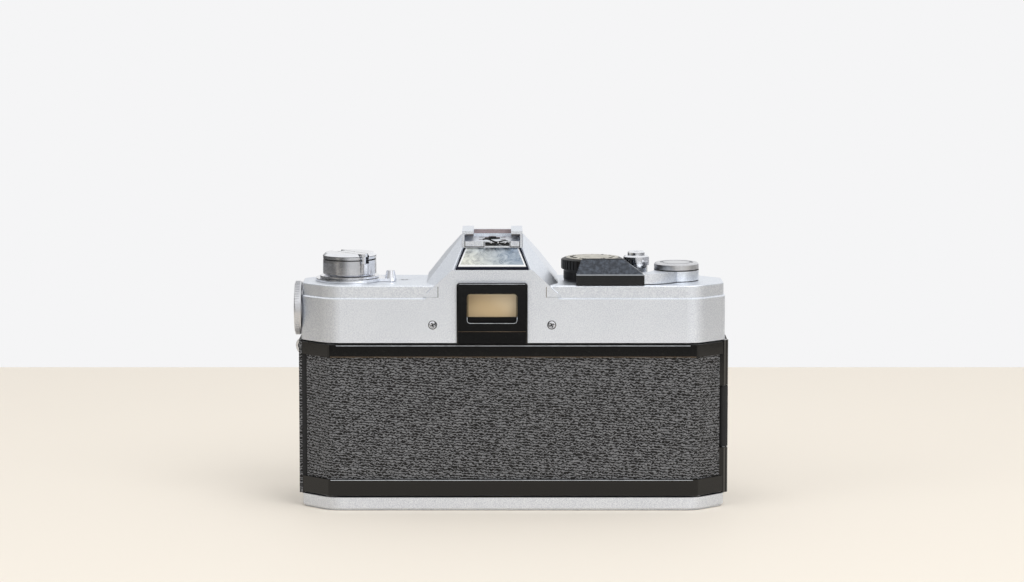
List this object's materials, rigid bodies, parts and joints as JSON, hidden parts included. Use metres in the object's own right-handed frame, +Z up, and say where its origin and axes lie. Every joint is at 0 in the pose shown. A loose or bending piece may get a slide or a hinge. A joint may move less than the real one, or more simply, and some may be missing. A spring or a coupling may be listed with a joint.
{
  "type": "film camera",
  "caption": "35 mm single-lens reflex film camera with a standard lens, hinged back, advance lever, rewind crank and working dials.",
  "frame": {"origin": "mouth of the tripod socket in the base, straight below the lens axis", "axes": "+X to the viewer's right, +Y forward along the lens axis, +Z up"},
  "size_m": [0.1462, 0.0938, 0.0929],
  "materials": {
    "satin_metal": "satin",
    "bright_chrome": "polished",
    "turned_alloy": "satin",
    "cast_body": "matte",
    "gloss_black": "gloss",
    "leather": "matte",
    "black_alloy": "satin",
    "black_gloss_plastic": "gloss",
    "counter_disc": "matte",
    "steel": "satin",
    "plate_black": "satin",
    "curtain_cloth": "matte",
    "clear_glass": "gloss",
    "mirror_glass": "polished"
  },
  "bodies": {
    "camera_body": {"gate_frame": "cast_body", "cassette_end": "cast_body", "spool_end": "cast_body", "mirror_box": "cast_body", "top_cover": "satin_metal", "base_cover": "satin_metal", "front_leather": "leather", "lens_mount": "steel", "pentaprism": "clear_glass", "focusing_screen": "clear_glass", "prism_cradle": "cast_body", "eyepiece_lens": "clear_glass", "eyepiece_frame": "black_gloss_plastic", "prism_plate": "bright_chrome", "accessory_shoe": "satin_metal", "shoe_spring": "bright_chrome", "shoe_contact": "black_gloss_plastic", "cover_screws": "bright_chrome", "base_screws": "steel", "rewind_collar": "bright_chrome", "battery_holder": "black_gloss_plastic", "battery": "steel", "strap_lugs": "bright_chrome", "sync_socket": "bright_chrome", "tripod_bush": "steel", "hinge_pin": "steel", "shutter_curtain": "curtain_cloth", "curtain_drums": "steel", "counter_window": "clear_glass", "lens_barrel": "black_alloy"},
    "back_door": {"back_door": "gloss_black", "door_leather": "leather", "pressure_spring": "steel"},
    "pressure_plate": {"pressure_plate": "plate_black"},
    "latch_bar": {"latch_bar": "steel"},
    "rewind_knob": {"rewind_knob": "bright_chrome"},
    "rewind_crank": {"rewind_crank": "bright_chrome"},
    "meter_switch": {"meter_switch": "bright_chrome"},
    "film_speed_ring": {"film_speed_ring": "black_alloy"},
    "speed_dial": {"speed_dial": "black_alloy"},
    "release_lock_ring": {"release_lock_ring": "bright_chrome"},
    "release_button": {"release_button": "bright_chrome"},
    "advance_lever": {"advance_lever": "satin_metal", "lever_tip": "black_gloss_plastic", "lever_cap": "satin_metal"},
    "sprocket": {"sprocket": "black_gloss_plastic"},
    "takeup_spool": {"takeup_spool": "black_gloss_plastic"},
    "counter_dial": {"counter_dial": "counter_disc"},
    "battery_cover": {"battery_cover": "turned_alloy"},
    "rewind_release": {"rewind_release": "steel"},
    "self_timer_lever": {"self_timer_lever": "steel"},
    "mirror": {"mirror": "mirror_glass", "mirror_frame": "cast_body"},
    "breech_ring": {"breech_ring": "turned_alloy"},
    "aperture_ring": {"aperture_ring": "black_alloy"},
    "focus_ring": {"focus_ring": "black_alloy"},
    "front_barrel": {"front_barrel": "black_alloy", "front_element": "clear_glass", "rear_element": "clear_glass", "iris_blades": "steel"}
  },
  "joints": [
    {"name": "door_hinge", "type": "hinge", "parent": "camera_body", "child": "back_door", "pos_m": [0.0776, -0.0052, 0.03], "axis": [0, 0, 1], "range_deg": [0, 100]},
    {"name": "plate_press", "type": "slide", "parent": "back_door", "child": "pressure_plate", "axis": [0, -1, 0], "range_m": [0, 0.00025], "stiffness_N_per_m": 600, "springref_m": -0.002},
    {"name": "latch_lift", "type": "slide", "parent": "camera_body", "child": "latch_bar", "axis": [0, 0, 1], "range_m": [0, 0.008]},
    {"name": "rewind_spin", "type": "hinge", "parent": "latch_bar", "child": "rewind_knob", "pos_m": [-0.048, 0, 0.08], "axis": [0, 0, 1], "continuous": true},
    {"name": "crank_fold", "type": "hinge", "parent": "rewind_knob", "child": "rewind_crank", "pos_m": [-0.05101, 0.00399, 0.0848], "axis": [-0.7986, -0.6018, 0], "range_deg": [0, 175]},
    {"name": "meter_switch_turn", "type": "hinge", "parent": "camera_body", "child": "meter_switch", "pos_m": [-0.048, 0, 0.0758], "axis": [0, 0, 1], "range_deg": [-25, 20]},
    {"name": "film_speed_turn", "type": "hinge", "parent": "camera_body", "child": "film_speed_ring", "pos_m": [0.0336, 0, 0.0758], "axis": [0, 0, 1], "range_deg": [-100, 100]},
    {"name": "speed_dial_turn", "type": "hinge", "parent": "camera_body", "child": "speed_dial", "pos_m": [0.0336, 0, 0.0758], "axis": [0, 0, 1], "range_deg": [-150, 150]},
    {"name": "release_lock_turn", "type": "hinge", "parent": "camera_body", "child": "release_lock_ring", "pos_m": [0.0485, 0.004, 0.0758], "axis": [0, 0, 1], "range_deg": [0, 60]},
    {"name": "release_press", "type": "slide", "parent": "camera_body", "child": "release_button", "axis": [0, 0, -1], "range_m": [0, 0.002], "stiffness_N_per_m": 400, "springref_m": -0.002},
    {"name": "advance_stroke", "type": "hinge", "parent": "camera_body", "child": "advance_lever", "pos_m": [0.0619, 0, 0.0758], "axis": [0, 0, 1], "range_deg": [0, 174], "stiffness_Nm_per_rad": 0.01, "springref_deg": -17.19},
    {"name": "sprocket_spin", "type": "hinge", "parent": "camera_body", "child": "sprocket", "pos_m": [0.04, -0.0062, 0.03], "axis": [0, 0, 1], "range_deg": [0, 361]},
    {"name": "spool_spin", "type": "hinge", "parent": "camera_body", "child": "takeup_spool", "pos_m": [0.0619, 0, 0.03], "axis": [0, 0, 1], "range_deg": [0, 312]},
    {"name": "counter_step", "type": "hinge", "parent": "camera_body", "child": "counter_dial", "pos_m": [0.0619, 0, 0.0715], "axis": [0, 0, 1], "range_deg": [0, 10.1]},
    {"name": "battery_cover_off", "type": "slide", "parent": "camera_body", "child": "battery_cover", "axis": [-1, 0, 0], "range_m": [0, 0.012]},
    {"name": "rewind_release_press", "type": "slide", "parent": "camera_body", "child": "rewind_release", "axis": [0, 0, 1], "range_m": [0, 0.0008], "stiffness_N_per_m": 300, "springref_m": -0.002},
    {"name": "self_timer_turn", "type": "hinge", "parent": "camera_body", "child": "self_timer_lever", "pos_m": [0.0385, 0.018, 0.044], "axis": [0, -1, 0], "range_deg": [0, 95]},
    {"name": "mirror_swing", "type": "hinge", "parent": "camera_body", "child": "mirror", "pos_m": [0, -0.0045, 0.0475], "axis": [1, 0, 0], "range_deg": [0, 45]},
    {"name": "breech_turn", "type": "hinge", "parent": "camera_body", "child": "breech_ring", "pos_m": [0, 0.034, 0.0335], "axis": [0, 1, 0], "range_deg": [0, 50]},
    {"name": "aperture_turn", "type": "hinge", "parent": "camera_body", "child": "aperture_ring", "pos_m": [0, 0.042, 0.0335], "axis": [0, 1, 0], "range_deg": [0, 75]},
    {"name": "focus_turn", "type": "hinge", "parent": "camera_body", "child": "focus_ring", "pos_m": [0, 0.059, 0.0335], "axis": [0, 1, 0], "range_deg": [0, 190]},
    {"name": "focus_travel", "type": "slide", "parent": "camera_body", "child": "front_barrel", "axis": [0, 1, 0], "range_m": [0, 0.0068]}
  ],
  "couplings": [
    {"joint": "sprocket_spin", "follows": "advance_stroke", "ratio": 2.069},
    {"joint": "spool_spin", "follows": "advance_stroke", "ratio": 1.78},
    {"joint": "counter_step", "follows": "advance_stroke", "ratio": 0.05747},
    {"joint": "focus_travel", "follows": "focus_turn", "m_per_rad": 0.002}
  ]
}
